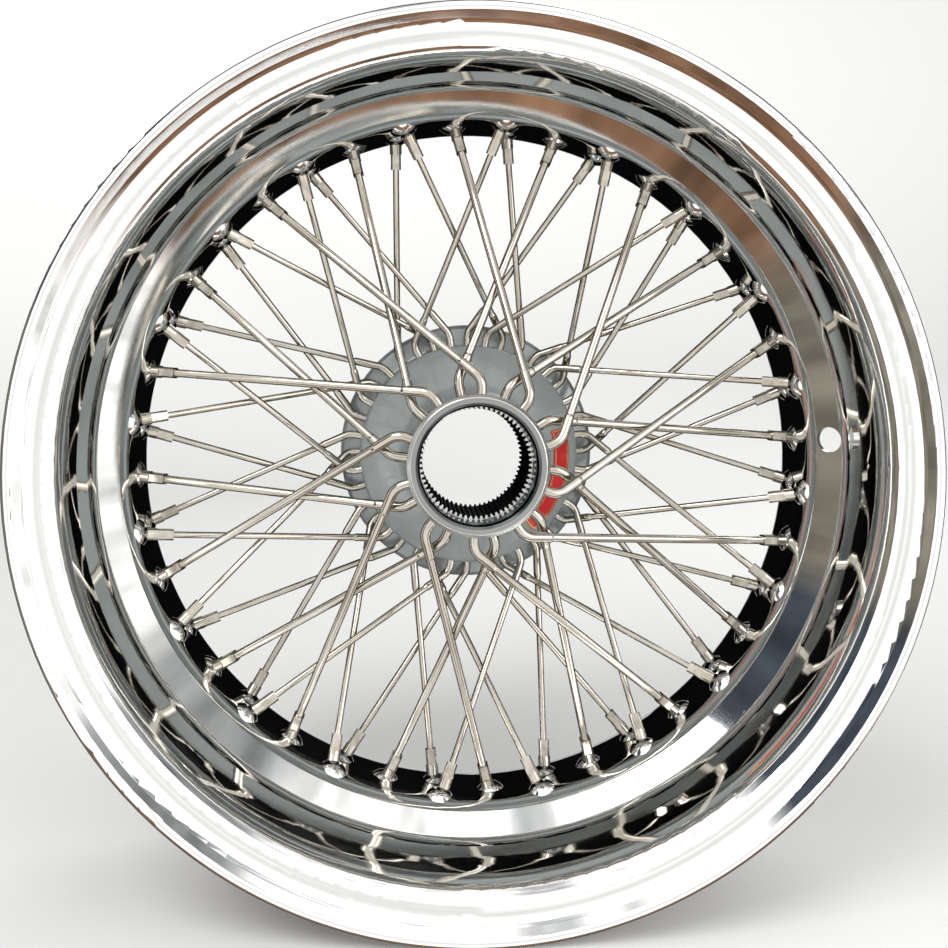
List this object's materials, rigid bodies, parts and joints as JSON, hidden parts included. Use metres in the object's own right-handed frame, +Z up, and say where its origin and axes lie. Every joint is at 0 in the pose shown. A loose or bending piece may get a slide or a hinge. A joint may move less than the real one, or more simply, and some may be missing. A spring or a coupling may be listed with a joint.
{
  "type": "wire wheel",
  "caption": "Centre-lock car wheel with a chromed drop-centre rim, crossed wire spokes on threaded nipples, and a painted hub with a splined bore.",
  "frame": {"origin": "on the wheel's axis, halfway between the two rim lips", "axes": "+Y along the axis from the outboard nose to the inboard rear face, +Z up, +X to the right seen from outboard"},
  "size_m": [0.415, 0.166, 0.415],
  "materials": {
    "rim_chrome": "mirror",
    "spoke_steel": "polished",
    "nipple_nickel": "bright plated",
    "hub_paint": "satin",
    "spline_steel": "machined",
    "badge_enamel": "gloss"
  },
  "bodies": {
    "root": {"rim": "rim_chrome", "hub_shell": "hub_paint", "spline_sleeve": "spline_steel", "badge": "badge_enamel", "nose_short_spoke_01": "spoke_steel", "nose_long_spoke_01": "spoke_steel", "steep_spokes_01": "spoke_steel", "shallow_spokes_01": "spoke_steel", "nipples_01": "nipple_nickel", "nose_short_spoke_02": "spoke_steel", "nose_long_spoke_02": "spoke_steel", "steep_spokes_02": "spoke_steel", "shallow_spokes_02": "spoke_steel", "nipples_02": "nipple_nickel", "nose_short_spoke_03": "spoke_steel", "nose_long_spoke_03": "spoke_steel", "steep_spokes_03": "spoke_steel", "shallow_spokes_03": "spoke_steel", "nipples_03": "nipple_nickel", "nose_short_spoke_04": "spoke_steel", "nose_long_spoke_04": "spoke_steel", "steep_spokes_04": "spoke_steel", "shallow_spokes_04": "spoke_steel", "nipples_04": "nipple_nickel", "nose_short_spoke_05": "spoke_steel", "nose_long_spoke_05": "spoke_steel", "steep_spokes_05": "spoke_steel", "shallow_spokes_05": "spoke_steel", "nipples_05": "nipple_nickel", "nose_short_spoke_06": "spoke_steel", "nose_long_spoke_06": "spoke_steel", "steep_spokes_06": "spoke_steel", "shallow_spokes_06": "spoke_steel", "nipples_06": "nipple_nickel", "nose_short_spoke_07": "spoke_steel", "nose_long_spoke_07": "spoke_steel", "steep_spokes_07": "spoke_steel", "shallow_spokes_07": "spoke_steel", "nipples_07": "nipple_nickel", "nose_short_spoke_08": "spoke_steel", "nose_long_spoke_08": "spoke_steel", "steep_spokes_08": "spoke_steel", "shallow_spokes_08": "spoke_steel", "nipples_08": "nipple_nickel", "nose_short_spoke_09": "spoke_steel", "nose_long_spoke_09": "spoke_steel", "steep_spokes_09": "spoke_steel", "shallow_spokes_09": "spoke_steel", "nipples_09": "nipple_nickel", "nose_short_spoke_10": "spoke_steel", "nose_long_spoke_10": "spoke_steel", "steep_spokes_10": "spoke_steel", "shallow_spokes_10": "spoke_steel", "nipples_10": "nipple_nickel"}
  },
  "joints": []
}
